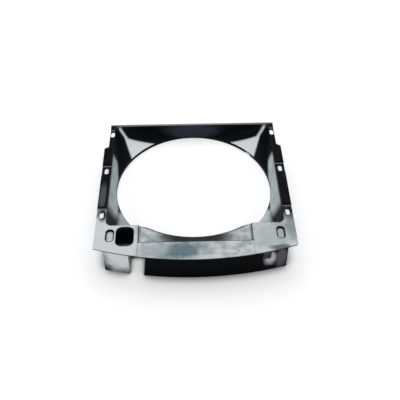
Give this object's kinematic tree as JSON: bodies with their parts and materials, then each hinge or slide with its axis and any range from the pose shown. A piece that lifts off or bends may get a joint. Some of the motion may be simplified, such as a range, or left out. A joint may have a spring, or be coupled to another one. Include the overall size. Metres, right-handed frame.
{
  "type": "radiator fan shroud",
  "caption": "Duct-shaped cooling shroud: a square mounting face with slotted side flanges narrows to a round fan ring, closed below by a panel with a curved cut-out.",
  "frame": {"origin": "bottom centre of the bounding box, under the middle of the shroud", "axes": "+Z square to the mounting face, from the fan towards the radiator; +Y from the closing panel towards the upper edge; +X across the vehicle"},
  "size_m": [0.56, 0.5848, 0.1022],
  "materials": {
    "shell_plastic": "black moulded polypropylene, satin, dusty on faces that look up",
    "panel_plastic": "weathered and scuffed black polypropylene, bloomed to grey",
    "seal_foam": "matte closed-cell foam",
    "spring_steel": "oiled spring steel"
  },
  "bodies": {
    "root": {"plenum_shell": "shell_plastic", "lower_panel": "panel_plastic", "lower_left_seal": "seal_foam", "upper_left_seal": "seal_foam", "lower_right_seal": "seal_foam", "upper_right_seal": "seal_foam", "push_nuts": "spring_steel"}
  },
  "joints": []
}
